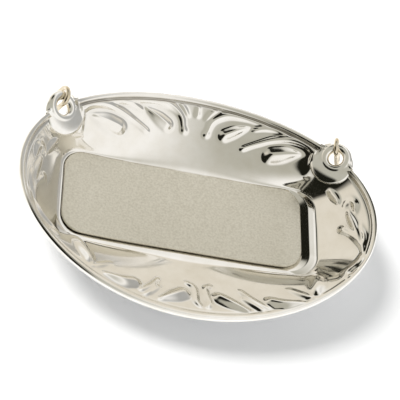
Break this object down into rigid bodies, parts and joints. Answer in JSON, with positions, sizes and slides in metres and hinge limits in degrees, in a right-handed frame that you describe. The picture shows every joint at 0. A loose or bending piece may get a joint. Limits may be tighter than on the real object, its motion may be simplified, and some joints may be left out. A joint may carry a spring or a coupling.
{
  "type": "wine label",
  "caption": "Dished oval wine label with a raised scroll border, a plain satin name panel, soldered eye lugs on its upper edge and a hanging chain end link in each lug.",
  "frame": {"origin": "middle of the oval, on the plane that the flat back of the floor rests on", "axes": "+X to the label's right, +Y towards the lugs, +Z out of the front"},
  "size_m": [0.059, 0.0414, 0.0102],
  "materials": {
    "polished_silver": "polished silver plate over brass",
    "satin_silver": "satin silver plate, left plain for engraving",
    "cast_silver": "polished silver plate over cast brass",
    "link_wire": "drawn wire, silver plate warmed by wear"
  },
  "bodies": {
    "label": {"label_plate": "polished_silver", "name_panel": "satin_silver", "left_lug": "cast_silver", "right_lug": "cast_silver"},
    "left_chain_link": {"left_link": "link_wire"},
    "right_chain_link": {"right_link": "link_wire"}
  },
  "joints": [
    {"name": "left_link_swing", "type": "hinge", "parent": "label", "child": "left_chain_link", "pos_m": [-0.02318, 0.01395, 0.0086], "axis": [0.9058, 0.1273, -0.4042], "range_deg": [-28, 247]},
    {"name": "right_link_swing", "type": "hinge", "parent": "label", "child": "right_chain_link", "pos_m": [0.02318, 0.01395, 0.0086], "axis": [0.9058, -0.1273, 0.4042], "range_deg": [-28, 247]}
  ]
}
